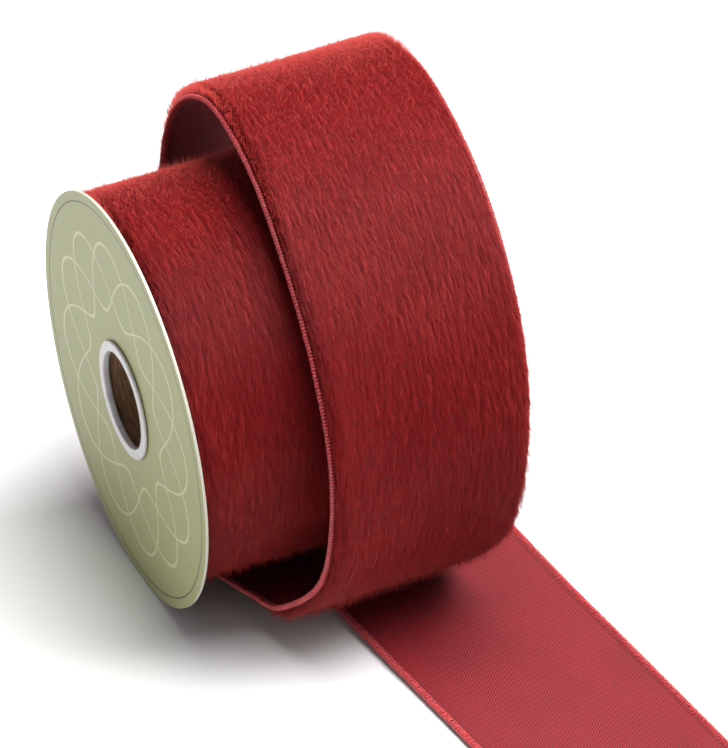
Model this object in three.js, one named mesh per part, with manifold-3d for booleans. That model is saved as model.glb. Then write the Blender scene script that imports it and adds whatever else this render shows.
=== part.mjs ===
// A reel of plush velvet ribbon with its last turn sprung loose.
// Two card flanges on a card core, a plastic bushing in each flange, the wound ribbon between
// them, and one sheet for the loose ribbon: off the roll, round the reel once and out as a tail.
// Millimetres, +Z up. The origin is the middle of the flat spot on which the left flange stands.

import * as THREE from 'three';
import { mergeVertices } from 'three/addons/utils/BufferGeometryUtils.js';
import Module from 'manifold-3d';

const wasm = await Module();
wasm.setup();

// Driving dimensions
const GAP = 0.3;                    // running clearance between neighbouring pieces
const REEL_LEAN = 4.3;              // degrees, the right flange stands on the ribbon
const FLANGE_RADIUS = 60;
const CARD = 0.8;                   // thickness of the flange card
const FLAT_DEPTH = 0.25;            // how far the rim is pressed flat on the floor
const CORE_OUTER = 18.3;
const CORE_INNER = 15.7;
const BORE = 14.1;                  // hole through the plastic bushings
const RIM_RADIUS = 17.2;            // outside of the bushing's rim
const RIM_HEIGHT = 0.8;             // how thick the rim is
const RIM_ROUND = 0.3;              // its softened edge
const RIBBON_WIDTH = 63.5;          // two and a half inches
const BAND = 2.4;                   // width of the overlocked, wired edge
const BAND_RISE = 0.3;              // the edge stands above the satin by this
const BAND_DEPTH = 1.2;             // and reaches this far on the pile side
const SHOULDER = 7.5;               // the pile is at full height this far from the edge
const FLOOR_PILE = 1.7;             // pile pressed between satin and floor
const ROLL_SIDE = 49;               // the roll's flat sides end here, below its edges

const BETWEEN = RIBBON_WIDTH + 2 * GAP;               // inside width of the reel
const ROLL_START = CARD + GAP;                        // left side of the wound ribbon
const REEL_WIDTH = CARD + BETWEEN + CARD;
const FLANGE_HOLE = CORE_INNER;

// Steps of the round shapes
const RIM_SEGMENTS = 96;
const CORE_SEGMENTS = 60;
const ROLL_STEPS = 9;               // sections between two rows of the roll's outline
const STEPS_PER_ROW = 3;           // sections between two rows of the ribbon's table

// Finishes
const finish = (color, roughness) => new THREE.MeshStandardMaterial({ color, roughness, metalness: 0 });
const sageCard = finish(0xa5a77f, 0.62);
const clearPlastic = finish(0xcfcacd, 0.35);
const brownCard = finish(0x7b5c40, 0.85);
const redPlush = finish(0x9c1f26, 0.9);

// The reel's own frame: x along its axis from the left flange's outer face, z up its face
const lean = THREE.MathUtils.degToRad(REEL_LEAN);
const reel = new THREE.Group();
reel.rotation.y = -lean;
reel.position.set(
  -CARD / 2 * Math.cos(lean) - FLANGE_RADIUS * Math.sin(lean),
  0,
  FLANGE_RADIUS * Math.cos(lean) - CARD / 2 * Math.sin(lean) - FLAT_DEPTH,
);
reel.updateMatrixWorld(true);

// A point of the reel's frame. Turn 0 is the bottom, 90 the front, 180 the top, 270 the back.
function roundReel(turn, reach, side) {
  const angle = THREE.MathUtils.degToRad(turn);
  return new THREE.Vector3(side, -reach * Math.sin(angle), -reach * Math.cos(angle));
}

const onReel = (turn, reach, side) => roundReel(turn, reach, side).applyMatrix4(reel.matrixWorld);
const onFloor = (x, y) => new THREE.Vector3(x, y, FLOOR_PILE);

// The wound ribbon's outline: how far its pile reaches, a row for each quarter or so.
// Past 580 degrees comes the step where the loose ribbon leaves it.
const ROLL_OUTLINE = [
  { turn: 220, reach: 53.6 },
  { turn: 290, reach: 53.2 },
  { turn: 360, reach: 52.0 },
  { turn: 395, reach: 52.4 },
  { turn: 425, reach: 55.0 },
  { turn: 455, reach: 57.2 },
  { turn: 500, reach: 57.8 },
  { turn: 540, reach: 58.3 },
  { turn: 580, reach: 58.6 },
];

// The loose ribbon: a row for each section along it. edge is the left edge on the satin side,
// yaw and tilt turn the line across the ribbon in plan and in height, pile is the fur's height.
const RIBBON_PATH = [
  { edge: onReel(221, 54.6, 1.1), yaw: 0, tilt: 4.3, pile: 4.0 },
  { edge: onReel(236, 54.6, 1.1), yaw: 0, tilt: 4.3, pile: 4.0 },
  { edge: onReel(252, 54.6, 1.1), yaw: 0.2, tilt: 4.6, pile: 4.0 },
  { edge: onReel(268, 54.6, 1.1), yaw: 1.5, tilt: 5.0, pile: 3.8 },
  { edge: onReel(285, 54.6, 1.3), yaw: 5.0, tilt: 4.9, pile: 3.4 },
  { edge: onReel(301, 54.9, 2.0), yaw: 8.2, tilt: 4.8, pile: 2.9 },
  { edge: onReel(317, 55.1, 4.1), yaw: 10.3, tilt: 4.4, pile: 2.4 },
  { edge: onReel(333, 55.0, 6.8), yaw: 11.5, tilt: 3.1, pile: 1.7 },
  { edge: onReel(349, 54.8, 9.9), yaw: 12.1, tilt: 0.9, pile: 1.4 },
  { edge: onReel(365, 55.0, 13.4), yaw: 12.1, tilt: -1.9, pile: 1.4 },
  { edge: onReel(380, 57.0, 16.9), yaw: 11.7, tilt: -3.4, pile: 1.4 },
  { edge: onReel(394, 61.8, 20.0), yaw: 11.6, tilt: -3.2, pile: 2.2 },
  { edge: onReel(406, 68.0, 23.1), yaw: 11.8, tilt: -2.1, pile: 3.2 },
  { edge: onReel(429, 74.0, 28.9), yaw: 11.7, tilt: -2.0, pile: 4.0 },
  { edge: onReel(454, 71.3, 33.1), yaw: 8.2, tilt: -2.9, pile: 4.2 },
  { edge: onReel(480, 66.7, 35.3), yaw: 2.3, tilt: -1.2, pile: 4.2 },
  { edge: onReel(508, 65.9, 36.8), yaw: -0.5, tilt: 0.1, pile: 4.2 },
  { edge: onReel(534, 71.0, 38.2), yaw: -0.3, tilt: -1.9, pile: 4.2 },
  { edge: onReel(558, 76.3, 38.8), yaw: -0.2, tilt: -1.4, pile: 4.2 },
  { edge: onReel(581, 74.5, 38.1), yaw: 2.6, tilt: 3.6, pile: 4.2 },
  { edge: onReel(605, 69.6, 37.4), yaw: 5.0, tilt: 5.0, pile: 4.2 },
  { edge: onReel(631, 67.4, 37.1), yaw: 3.7, tilt: 4.4, pile: 4.2 },
  { edge: onReel(658, 66.5, 37.4), yaw: 2.5, tilt: 4.5, pile: 4.0 },
  { edge: onReel(685, 64.5, 38.2), yaw: 3.1, tilt: 3.5, pile: 2.9 },
  { edge: onReel(699, 62.7, 38.9), yaw: 3.7, tilt: 1.8, pile: 2.2 },
  { edge: onReel(713, 61.4, 39.8), yaw: 4.2, tilt: 0.2, pile: FLOOR_PILE },
  { edge: onFloor(40.4, -8.5), yaw: 4.7, tilt: 0, pile: FLOOR_PILE },
  { edge: onFloor(41.6, -24.4), yaw: 5.2, tilt: 0, pile: FLOOR_PILE },
  { edge: onFloor(44.9, -55.9), yaw: 6.1, tilt: 0, pile: FLOOR_PILE },
  { edge: onFloor(48.8, -87.1), yaw: 6.7, tilt: 0, pile: FLOOR_PILE },
  { edge: onFloor(52.6, -118.0), yaw: 6.8, tilt: 0, pile: FLOOR_PILE },
  { edge: onFloor(57.4, -157.0), yaw: 6.8, tilt: 0, pile: FLOOR_PILE },
];

// The faces between equal rings, each of which runs counterclockwise seen from the far end
function walls(rings) {
  const count = rings[0].length;
  const index = [];
  for (let row = 0; row < rings.length - 1; row += 1) {
    for (let k = 0; k < count; k += 1) {
      const a = row * count + k;
      const b = row * count + (k + 1) % count;
      index.push(a, b, b + count, a, b + count, a + count);
    }
  }
  return index;
}

function meshOf(points, index) {
  const geometry = new THREE.BufferGeometry().setFromPoints(points);
  geometry.setIndex(index);
  return geometry;
}

// A closed solid through a row of rings. outline is one ring laid flat, for the two end caps.
function loft(rings, outline) {
  const index = walls(rings);
  const last = (rings.length - 1) * outline.length;
  for (const [a, b, c] of THREE.ShapeUtils.triangulateShape(outline, [])) {
    index.push(a, c, b, last + a, last + b, last + c);
  }
  return meshOf(rings.flat(), index);
}

// A manifold solid of a closed mesh, and a mesh of a manifold solid
function toSolid(geometry) {
  const bare = geometry.clone();
  bare.deleteAttribute('normal');
  bare.deleteAttribute('uv');
  const merged = mergeVertices(bare, 1e-4);
  return new wasm.Manifold(new wasm.Mesh({
    numProp: 3,
    vertProperties: new Float32Array(merged.attributes.position.array),
    triVerts: new Uint32Array(merged.index.array),
  }));
}

function toGeometry(solid) {
  const mesh = solid.getMesh();
  const geometry = new THREE.BufferGeometry();
  geometry.setAttribute('position', new THREE.BufferAttribute(mesh.vertProperties, 3));
  geometry.setIndex(new THREE.BufferAttribute(mesh.triVerts, 1));
  geometry.computeVertexNormals();
  return geometry;
}

// A closed ring turned about the reel's axis from pairs of radius and place along the axis
function turned(pairs, segments) {
  const profile = [...pairs, pairs[0]].map(([radius, along]) => new THREE.Vector2(radius, along));
  return new THREE.LatheGeometry(profile, segments).rotateZ(-Math.PI / 2);
}

function sleeve(inner, outer, from, to, segments) {
  return turned([[outer, from], [outer, to], [inner, to], [inner, from]], segments);
}

// The left flange stands on the floor, so its rim is cut flat there
function standingFlange() {
  const size = 2 * FLANGE_RADIUS;
  const card = sleeve(FLANGE_HOLE, FLANGE_RADIUS, 0, CARD, RIM_SEGMENTS).applyMatrix4(reel.matrixWorld);
  const floor = new THREE.BoxGeometry(size, size, size).translate(0, 0, -size / 2);
  return toGeometry(toSolid(card).subtract(toSolid(floor)));
}

// A rim on the outside of the card and a short barrel in its hole
function bushing() {
  const barrel = FLANGE_HOLE - GAP;
  const back = -GAP;
  const front = back - RIM_HEIGHT;
  return turned([
    [BORE, front],
    [RIM_RADIUS - RIM_ROUND, front],
    [RIM_RADIUS, front + RIM_ROUND],
    [RIM_RADIUS, back],
    [barrel, back],
    [barrel, CARD],
    [BORE, CARD],
  ], CORE_SEGMENTS);
}

// Smooth course through a table's rows, evaluated at row number t
function course(points) {
  const curve = new THREE.CatmullRomCurve3(points, false, 'catmullrom', 0.5);
  return (t) => curve.getPoint(t / (points.length - 1));
}

// The wound ribbon's section, across it and out from the axis: a flat side, the low
// overlocked edge and the pile, then the same back to the other side, and the bore last.
function rollSection(reach) {
  const rise = [
    [0, ROLL_SIDE],
    [0.8, reach - 2.2],
    [BAND, reach - 2],
    [BAND + 2, reach - 0.8],
    [SHOULDER, reach - 0.1],
    [SHOULDER + 6, reach],
  ];
  const fall = rise.map(([across, out]) => [RIBBON_WIDTH - across, out]).reverse();
  const bore = CORE_OUTER + GAP;
  return [...rise, ...fall, [RIBBON_WIDTH, bore], [0, bore]];
}

// The roll is one turn of that section, and a step in its fur closes the turn
function woundRibbon() {
  const outlineAt = course(ROLL_OUTLINE.map(({ turn, reach }) => new THREE.Vector3(turn, reach, 0)));
  const rings = [];
  const steps = (ROLL_OUTLINE.length - 1) * ROLL_STEPS;
  for (let step = 0; step <= steps; step += 1) {
    const { x: turn, y: reach } = outlineAt(step / ROLL_STEPS);
    rings.push(rollSection(reach).map(([across, out]) => roundReel(turn, out, ROLL_START + across)));
  }
  const index = walls(rings);
  const count = rings[0].length;
  const last = steps * count;
  const fur = count - 3;
  for (let k = 0; k < fur; k += 1) {
    if (k < fur - 1) {
      index.push(last + k, last + k + 1, k + 1);
    }
    if (k > 0) {
      index.push(last + k, k + 1, k);
    }
  }
  return mergeVertices(meshOf(rings.flat(), index), 1e-4);
}

// The loose ribbon's section: across it from the left edge, and up from the satin.
// The satin is flat between two wired edges, and the fur rises over rounded shoulders.
function ribbonSection(pile) {
  const fur = Math.max(pile, BAND_DEPTH + 0.2);
  const step = fur - BAND_DEPTH;
  const half = [
    [0, -0.6],
    [0.8, -BAND_DEPTH],
    [BAND, -BAND_DEPTH],
    [BAND + 1.8, -BAND_DEPTH - 0.6 * step],
    [SHOULDER, -fur],
  ];
  const top = [
    [BAND + 0.4, 0],
    [BAND - 0.2, BAND_RISE],
    [0.7, BAND_RISE],
    [0, -0.1],
  ];
  const flip = ([across, up]) => [RIBBON_WIDTH - across, up];
  const ring = [...half, ...half.map(flip).reverse(), ...top.map(flip).reverse(), ...top];
  return ring.map(([across, up]) => new THREE.Vector2(across, up));
}

function looseRibbon() {
  const edgeAt = course(RIBBON_PATH.map((row) => row.edge));
  const setAt = course(RIBBON_PATH.map(({ yaw, tilt, pile }) => new THREE.Vector3(yaw, tilt, pile)));
  const across = (t) => {
    const set = setAt(t);
    const yaw = THREE.MathUtils.degToRad(set.x);
    const tilt = THREE.MathUtils.degToRad(set.y);
    return new THREE.Vector3(
      Math.cos(yaw) * Math.cos(tilt),
      Math.sin(yaw) * Math.cos(tilt),
      Math.sin(tilt),
    );
  };
  const middle = (t) => edgeAt(t).addScaledVector(across(t), RIBBON_WIDTH / 2);
  const rows = RIBBON_PATH.length - 1;
  const rings = [];
  for (let step = 0; step <= rows * STEPS_PER_ROW; step += 1) {
    const t = step / STEPS_PER_ROW;
    const ahead = middle(Math.min(t + 0.02, rows)).sub(middle(Math.max(t - 0.02, 0)));
    const line = across(t);
    const up = new THREE.Vector3().crossVectors(ahead, line).normalize();
    const edge = edgeAt(t);
    rings.push(ribbonSection(setAt(t).z).map((p) => {
      const point = edge.clone().addScaledVector(line, p.x).addScaledVector(up, p.y);
      point.z = Math.max(point.z, 0);
      return point;
    }));
  }
  return loft(rings, ribbonSection(BAND_DEPTH));
}

function piece(name, geometry, material) {
  const mesh = new THREE.Mesh(geometry, material);
  mesh.name = name;
  return mesh;
}

const rightCard = piece('flange_right', sleeve(FLANGE_HOLE, FLANGE_RADIUS, 0, CARD, RIM_SEGMENTS), sageCard);
rightCard.position.x = REEL_WIDTH - CARD;

const rightBushing = piece('bushing_right', bushing(), clearPlastic);
rightBushing.rotation.z = Math.PI;
rightBushing.position.x = REEL_WIDTH;

const coreTube = sleeve(CORE_INNER, CORE_OUTER, ROLL_START, ROLL_START + RIBBON_WIDTH, CORE_SEGMENTS);

reel.add(
  rightCard,
  piece('bushing_left', bushing(), clearPlastic),
  rightBushing,
  piece('core_tube', coreTube, brownCard),
  piece('wound_ribbon', woundRibbon(), redPlush),
);

const part = new THREE.Group();
part.add(
  reel,
  piece('flange_left', standingFlange(), sageCard),
  piece('loose_ribbon', looseRibbon(), redPlush),
);

export default part;
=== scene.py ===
"""A reel of plush velvet ribbon with its last turn sprung loose: the looks around its CAD frame.

Sizes are in millimetres until a mesh is made, and every mesh is in metres in the frame's own
axes. A place on a ribbon is (s, w, h): s along it, w across it from its left edge, and h above
its satin face, so the pile stands towards negative h.
"""

import logging
import math
from dataclasses import dataclass
from enum import Enum
from typing import Callable, NamedTuple, Protocol

import bpy
import numpy as np
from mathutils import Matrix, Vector


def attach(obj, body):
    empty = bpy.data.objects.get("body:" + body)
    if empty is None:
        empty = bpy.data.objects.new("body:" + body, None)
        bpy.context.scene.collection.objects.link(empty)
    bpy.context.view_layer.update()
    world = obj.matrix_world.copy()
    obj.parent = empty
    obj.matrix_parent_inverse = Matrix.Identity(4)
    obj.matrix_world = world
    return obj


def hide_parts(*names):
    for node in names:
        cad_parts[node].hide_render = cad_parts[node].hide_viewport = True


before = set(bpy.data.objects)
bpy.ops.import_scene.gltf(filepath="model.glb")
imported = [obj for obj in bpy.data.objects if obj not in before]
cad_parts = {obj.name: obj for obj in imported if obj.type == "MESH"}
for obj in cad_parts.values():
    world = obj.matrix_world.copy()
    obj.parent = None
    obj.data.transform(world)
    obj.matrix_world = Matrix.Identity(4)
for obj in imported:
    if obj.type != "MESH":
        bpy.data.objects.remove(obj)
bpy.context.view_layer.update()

log = logging.getLogger("ribbon_reel")

MM = 0.001
SEED = 20611
Points = np.ndarray
Colour = tuple[float, float, float]
Socket = bpy.types.NodeSocket
ByPlace = Callable[[np.ndarray, np.ndarray], np.ndarray]

# Sizes shared with the CAD source
REEL_LEAN = 4.3
FLANGE_RADIUS = 60.0
CARD = 0.8
FLAT_DEPTH = 0.25
GAP = 0.3
CORE_OUTER = 18.3
CORE_INNER = 15.7
BORE = 14.1
RIM_RADIUS = 17.2
RIM_HEIGHT = 0.8
RIBBON_WIDTH = 63.5
FLOOR_PILE = 1.7
ROLL_START = CARD + GAP
REEL_WIDTH = 2 * CARD + RIBBON_WIDTH + 2 * GAP

# The cloth's own sizes
BACKING = 0.5
BAND = 2.4
BEAD_CENTRE = 0.72
PILE_EDGE = 1.5
GROUND_SHARE = 0.8
GROUND_SLOPE = 2.8
LOWER_FRONT = 402.0
LEAST_ABOVE_FLOOR = 0.02


class ReelRow(NamedTuple):
    """A section of the loose ribbon, placed round the reel's axis."""

    turn: float
    reach: float
    side: float
    yaw: float
    tilt: float
    pile: float


class FloorRow(NamedTuple):
    """A section of the loose ribbon that lies flat on the floor."""

    x: float
    y: float
    yaw: float


class RollRow(NamedTuple):
    """How far the wound ribbon's pile reaches at a turn, and how high that pile is."""

    turn: float
    reach: float
    pile: float


REEL_ROWS = (
    ReelRow(221, 54.6, 1.1, 0, 4.3, 4.0),
    ReelRow(236, 54.6, 1.1, 0, 4.3, 4.0),
    ReelRow(252, 54.6, 1.1, 0.2, 4.6, 4.0),
    ReelRow(268, 54.6, 1.1, 1.5, 5.0, 3.8),
    ReelRow(285, 54.6, 1.3, 5.0, 4.9, 3.4),
    ReelRow(301, 54.9, 2.0, 8.2, 4.8, 2.9),
    ReelRow(317, 55.1, 4.1, 10.3, 4.4, 2.4),
    ReelRow(333, 55.0, 6.8, 11.5, 3.1, 1.7),
    ReelRow(349, 54.8, 9.9, 12.1, 0.9, 1.4),
    ReelRow(365, 55.0, 13.4, 12.1, -1.9, 1.4),
    ReelRow(380, 57.0, 16.9, 11.7, -3.4, 1.4),
    ReelRow(394, 61.8, 20.0, 11.6, -3.2, 2.2),
    ReelRow(406, 68.0, 23.1, 11.8, -2.1, 3.2),
    ReelRow(429, 74.0, 28.9, 11.7, -2.0, 4.0),
    ReelRow(454, 71.3, 33.1, 8.2, -2.9, 4.2),
    ReelRow(480, 66.7, 35.3, 2.3, -1.2, 4.2),
    ReelRow(508, 65.9, 36.8, -0.5, 0.1, 4.2),
    ReelRow(534, 71.0, 38.2, -0.3, -1.9, 4.2),
    ReelRow(558, 76.3, 38.8, -0.2, -1.4, 4.2),
    ReelRow(581, 74.5, 38.1, 2.6, 3.6, 4.2),
    ReelRow(605, 69.6, 37.4, 5.0, 5.0, 4.2),
    ReelRow(631, 67.4, 37.1, 3.7, 4.4, 4.2),
    ReelRow(658, 66.5, 37.4, 2.5, 4.5, 4.0),
    ReelRow(685, 64.5, 38.2, 3.1, 3.5, 2.9),
    ReelRow(699, 62.7, 38.9, 3.7, 1.8, 2.2),
    ReelRow(713, 61.4, 39.8, 4.2, 0.2, FLOOR_PILE),
)

FLOOR_ROWS = (
    FloorRow(40.4, -8.5, 4.7),
    FloorRow(41.6, -24.4, 5.2),
    FloorRow(44.9, -55.9, 6.1),
    FloorRow(48.8, -87.1, 6.7),
    FloorRow(52.6, -118.0, 6.8),
    FloorRow(57.4, -157.0, 6.8),
)

ROLL_ROWS = (
    RollRow(220, 53.6, 2.8),
    RollRow(290, 53.2, 2.8),
    RollRow(360, 52.0, 2.7),
    RollRow(395, 52.4, 2.7),
    RollRow(425, 55.0, 2.8),
    RollRow(455, 57.2, 2.9),
    RollRow(500, 57.8, 3.1),
    RollRow(540, 58.3, 3.3),
    RollRow(580, 58.6, 3.5),
)


# Curves and meshes


def smooth_course(rows: np.ndarray, t: np.ndarray) -> np.ndarray:
    """Runs a smooth course through rows and reads it at row numbers t.

    Between two rows each value is the cubic that meets both of them, and its slope at a row is
    half the difference of that row's neighbours.

    Args:
        rows: one row of values for each point, n by k.
        t: row numbers, from 0 to n - 1.

    Returns:
        The values at t, one row for each.
    """
    last = len(rows) - 1
    t = np.clip(t, 0, last)
    i = np.minimum(t.astype(int), last - 1)
    w = (t - i)[:, None]
    ends = np.vstack([2 * rows[:1] - rows[1:2], rows, 2 * rows[-1:] - rows[-2:-1]])
    before, start, stop, after = (ends[i + k] for k in range(4))
    slope_in, slope_out = (stop - before) / 2, (after - start) / 2
    cubic = 2 * start - 2 * stop + slope_in + slope_out
    square = -3 * start + 3 * stop - 2 * slope_in - slope_out
    return ((cubic * w + square) * w + slope_in) * w + start


def unit(v: np.ndarray) -> np.ndarray:
    """Returns the vectors v at length one."""
    return v / np.maximum(np.linalg.norm(v, axis=-1, keepdims=True), 1e-12)


def ease(x: np.ndarray | float) -> np.ndarray:
    """Returns x held between 0 and 1 with a soft start and stop: three x squared less two x cubed."""
    x = np.clip(x, 0, 1)
    return x * x * (3 - 2 * x)


def hashed(row: np.ndarray, column: np.ndarray, salt: float) -> np.ndarray:
    """Returns an even spread of numbers from 0 to 1, one for each cell of a grid.

    It is the fraction left of a large multiple of the sine of a sum of the cell's numbers.
    """
    return np.modf(np.abs(np.sin(row * 12.9898 + column * 78.233 + salt * 37.719)) * 43758.5453)[0]


def grid_faces(rows: int, columns: int, ring: bool, loop: bool = False) -> np.ndarray:
    """Lists the four-sided faces of a grid of points.

    Args:
        rows: how many rows of points.
        columns: how many points in a row.
        ring: whether the last point of a row joins its first.
        loop: whether the last row joins the first.

    Returns:
        Point numbers, four for each face.
    """
    i, j = np.meshgrid(
        np.arange(rows if loop else rows - 1),
        np.arange(columns if ring else columns - 1),
        indexing="ij",
    )
    i, j = i.ravel(), j.ravel()
    down, right = (i + 1) % rows, (j + 1) % columns
    return np.stack([i * columns + j, i * columns + right, down * columns + right, down * columns + j], -1)


def end_faces(rows: int, columns: int) -> np.ndarray:
    """Lists the faces that close both ends of a flat tube whose rows run out and back."""
    half = columns // 2
    i = np.arange(half - 1)
    first = np.stack([i, columns - 1 - i, columns - 2 - i, i + 1], -1)
    return np.vstack([first, first[:, ::-1] + (rows - 1) * columns])


def make_piece(
    name: str, points: Points, faces: np.ndarray, uv: np.ndarray | None = None
) -> bpy.types.Object:
    """Makes an object of points and faces.

    Args:
        name: the piece's name.
        points: its points in millimetres.
        faces: point numbers, the same count for each face.
        uv: a pair of numbers for each point, kept as the piece's UV map.

    Returns:
        The object, at the origin and smooth.
    """
    mesh = bpy.data.meshes.new(name)
    count, sides = faces.shape
    mesh.vertices.add(len(points))
    mesh.vertices.foreach_set("co", (points * MM).astype(np.float32).ravel())
    mesh.loops.add(count * sides)
    mesh.loops.foreach_set("vertex_index", faces.astype(np.int32).ravel())
    mesh.polygons.add(count)
    mesh.polygons.foreach_set("loop_start", np.arange(0, count * sides, sides, dtype=np.int32))
    if uv is not None:
        layer = mesh.uv_layers.new(name="cloth")
        layer.data.foreach_set("uv", uv[faces.ravel()].astype(np.float32).ravel())
    mesh.update(calc_edges=True)
    mesh.shade_smooth()
    piece = bpy.data.objects.new(name, mesh)
    bpy.context.scene.collection.objects.link(piece)
    return piece


def outward(points: Points, faces: np.ndarray) -> np.ndarray:
    """Returns a closed surface's faces, turned over if the volume inside them counts as negative.

    The volume is a sixth of the sum of each triangle's triple product.
    """
    a, b, c = (points[faces[:, k]] for k in (0, 1, 2))
    volume = np.einsum("ij,ij->", a, np.cross(b, c))
    if faces.shape[1] == 4:
        d = points[faces[:, 3]]
        volume += np.einsum("ij,ij->", a, np.cross(c, d))
    return faces if volume > 0 else faces[:, ::-1]


class Slot(Enum):
    """What a piece of the object is made of, by the record's slot."""

    CARD = "flange_card"
    PLASTIC = "bushing_plastic"
    CORE = "core_card"
    VELVET = "velvet"


def settle(
    piece: bpy.types.Object, material: bpy.types.Material, slot: Slot, *nodes: str
) -> bpy.types.Object:
    """Dresses a finished piece and ties it to the frame.

    Args:
        piece: the new piece.
        material: its finish.
        slot: not used.
        nodes: the CAD nodes that the piece stands for.

    Returns:
        The piece.
    """
    piece.data.materials.append(material)
    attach(piece, "root")
    if nodes:
        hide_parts(*nodes)
    log.info("%s: %d faces", piece.name, len(piece.data.polygons))
    return piece


# Where things are


@dataclass(frozen=True)
class ReelFrame:
    """The reel's own axes: side along its axis from the left flange's face, turn round it.

    Turn 0 is the bottom, 90 the front, 180 the top and 270 the back.
    """

    lean: float = math.radians(REEL_LEAN)

    @property
    def axis(self) -> np.ndarray:
        """Returns the direction along the axis, to the right flange."""
        return np.array([math.cos(self.lean), 0, math.sin(self.lean)])

    @property
    def rise(self) -> np.ndarray:
        """Returns the direction up the flange's face."""
        return np.array([-math.sin(self.lean), 0, math.cos(self.lean)])

    @property
    def centre(self) -> np.ndarray:
        """Returns the middle of the left flange's outer face."""
        return np.array([
            -CARD / 2 * math.cos(self.lean) - FLANGE_RADIUS * math.sin(self.lean),
            0,
            FLANGE_RADIUS * math.cos(self.lean) - CARD / 2 * math.sin(self.lean) - FLAT_DEPTH,
        ])

    def radial(self, turn: np.ndarray) -> np.ndarray:
        """Returns the outward directions at these turns, in degrees."""
        a = np.radians(turn)[..., None]
        return np.sin(a) * np.array([0, -1.0, 0]) - np.cos(a) * self.rise

    def place(self, side: np.ndarray, reach: np.ndarray, turn: np.ndarray) -> Points:
        """Returns the points at these sides, distances from the axis and turns."""
        return (
            self.centre
            + np.asarray(side)[..., None] * self.axis
            + np.asarray(reach)[..., None] * self.radial(np.asarray(turn, float))
        )


class Skin(Protocol):
    """A stretch of ribbon that pile, edges and a backing can be put on."""

    length: float

    def place(self, s: np.ndarray, w: np.ndarray, h: np.ndarray) -> Points:
        """Returns the points at these places of the ribbon."""

    def axes(self, s: np.ndarray) -> tuple[np.ndarray, np.ndarray, np.ndarray]:
        """Returns the directions along the ribbon, across it and out of its pile side."""

    def pile(self, s: np.ndarray) -> np.ndarray:
        """Returns how high the pile stands over the backing."""

    def ruffle(self, s: np.ndarray) -> np.ndarray:
        """Returns how rumpled the pile is, from 0 to 1, most where a bend rubs on its lower front."""


@dataclass
class LooseSkin:
    """The loose ribbon's course: off the roll, round the reel and out along the floor."""

    reel: ReelFrame
    step: float = 0.25

    def __post_init__(self) -> None:
        """Measures the course along its middle line and keeps its axes at even steps."""
        turns = [
            np.r_[self.reel.place(r.side, r.reach, r.turn), r.yaw, r.tilt, r.pile] for r in REEL_ROWS
        ]
        floor = [np.array([r.x, r.y, FLOOR_PILE, r.yaw, 0, FLOOR_PILE]) for r in FLOOR_ROWS]
        rows = np.array(turns + floor)
        t = np.linspace(0, len(rows) - 1, 40 * len(rows))
        middle = self._middle(smooth_course(rows, t))
        run = np.r_[0, np.cumsum(np.linalg.norm(np.diff(middle, axis=0), axis=1))]
        self.length = float(run[-1])
        self._s = np.arange(0, self.length, self.step)
        at = smooth_course(rows, np.interp(self._s, run, t))
        self._edge, self._across = at[:, :3], self._ruling(at)
        self._along = unit(np.gradient(self._middle(at), axis=0))
        self._up = unit(np.cross(self._along, self._across))
        self._pile = at[:, 5]
        bend = next(i for i, row in enumerate(REEL_ROWS) if row.turn > LOWER_FRONT)
        self.bend = float(np.interp(bend, t, run))

    @staticmethod
    def _ruling(at: np.ndarray) -> np.ndarray:
        """Returns the direction straight across the ribbon, from each row's yaw and tilt."""
        yaw, tilt = np.radians(at[:, 3]), np.radians(at[:, 4])
        return np.stack([np.cos(yaw) * np.cos(tilt), np.sin(yaw) * np.cos(tilt), np.sin(tilt)], -1)

    def _middle(self, at: np.ndarray) -> Points:
        """Returns the points half way across the ribbon."""
        return at[:, :3] + self._ruling(at) * RIBBON_WIDTH / 2

    def _read(self, values: np.ndarray, s: np.ndarray) -> np.ndarray:
        """Returns kept values at places s, each a straight mix of the two nearest."""
        at = np.clip(np.asarray(s, float) / self.step, 0, len(self._s) - 1.001)
        i = at.astype(int)
        w = at - i
        if values.ndim > 1:
            w = w[..., None]
        return values[i] * (1 - w) + values[i + 1] * w

    def place(self, s: np.ndarray, w: np.ndarray, h: np.ndarray) -> Points:
        """Returns the points at these places, never below the floor."""
        points = (
            self._read(self._edge, s)
            + self._read(self._across, s) * np.asarray(w)[..., None]
            + self._read(self._up, s) * np.asarray(h)[..., None]
        )
        points[..., 2] = np.maximum(points[..., 2], LEAST_ABOVE_FLOOR)
        return points

    def axes(self, s: np.ndarray) -> tuple[np.ndarray, np.ndarray, np.ndarray]:
        """Returns the directions along the ribbon, across it and out of its pile side."""
        return self._read(self._along, s), self._read(self._across, s), -self._read(self._up, s)

    def pile(self, s: np.ndarray) -> np.ndarray:
        """Returns how high the pile stands over the backing."""
        return self._read(self._pile, s) - BACKING

    def ruffle(self, s: np.ndarray) -> np.ndarray:
        """Returns how rumpled the pile is: a bell curve about the lower front of the loop."""
        return np.exp(-(((s - self.bend) / 13.0) ** 2))


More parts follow.
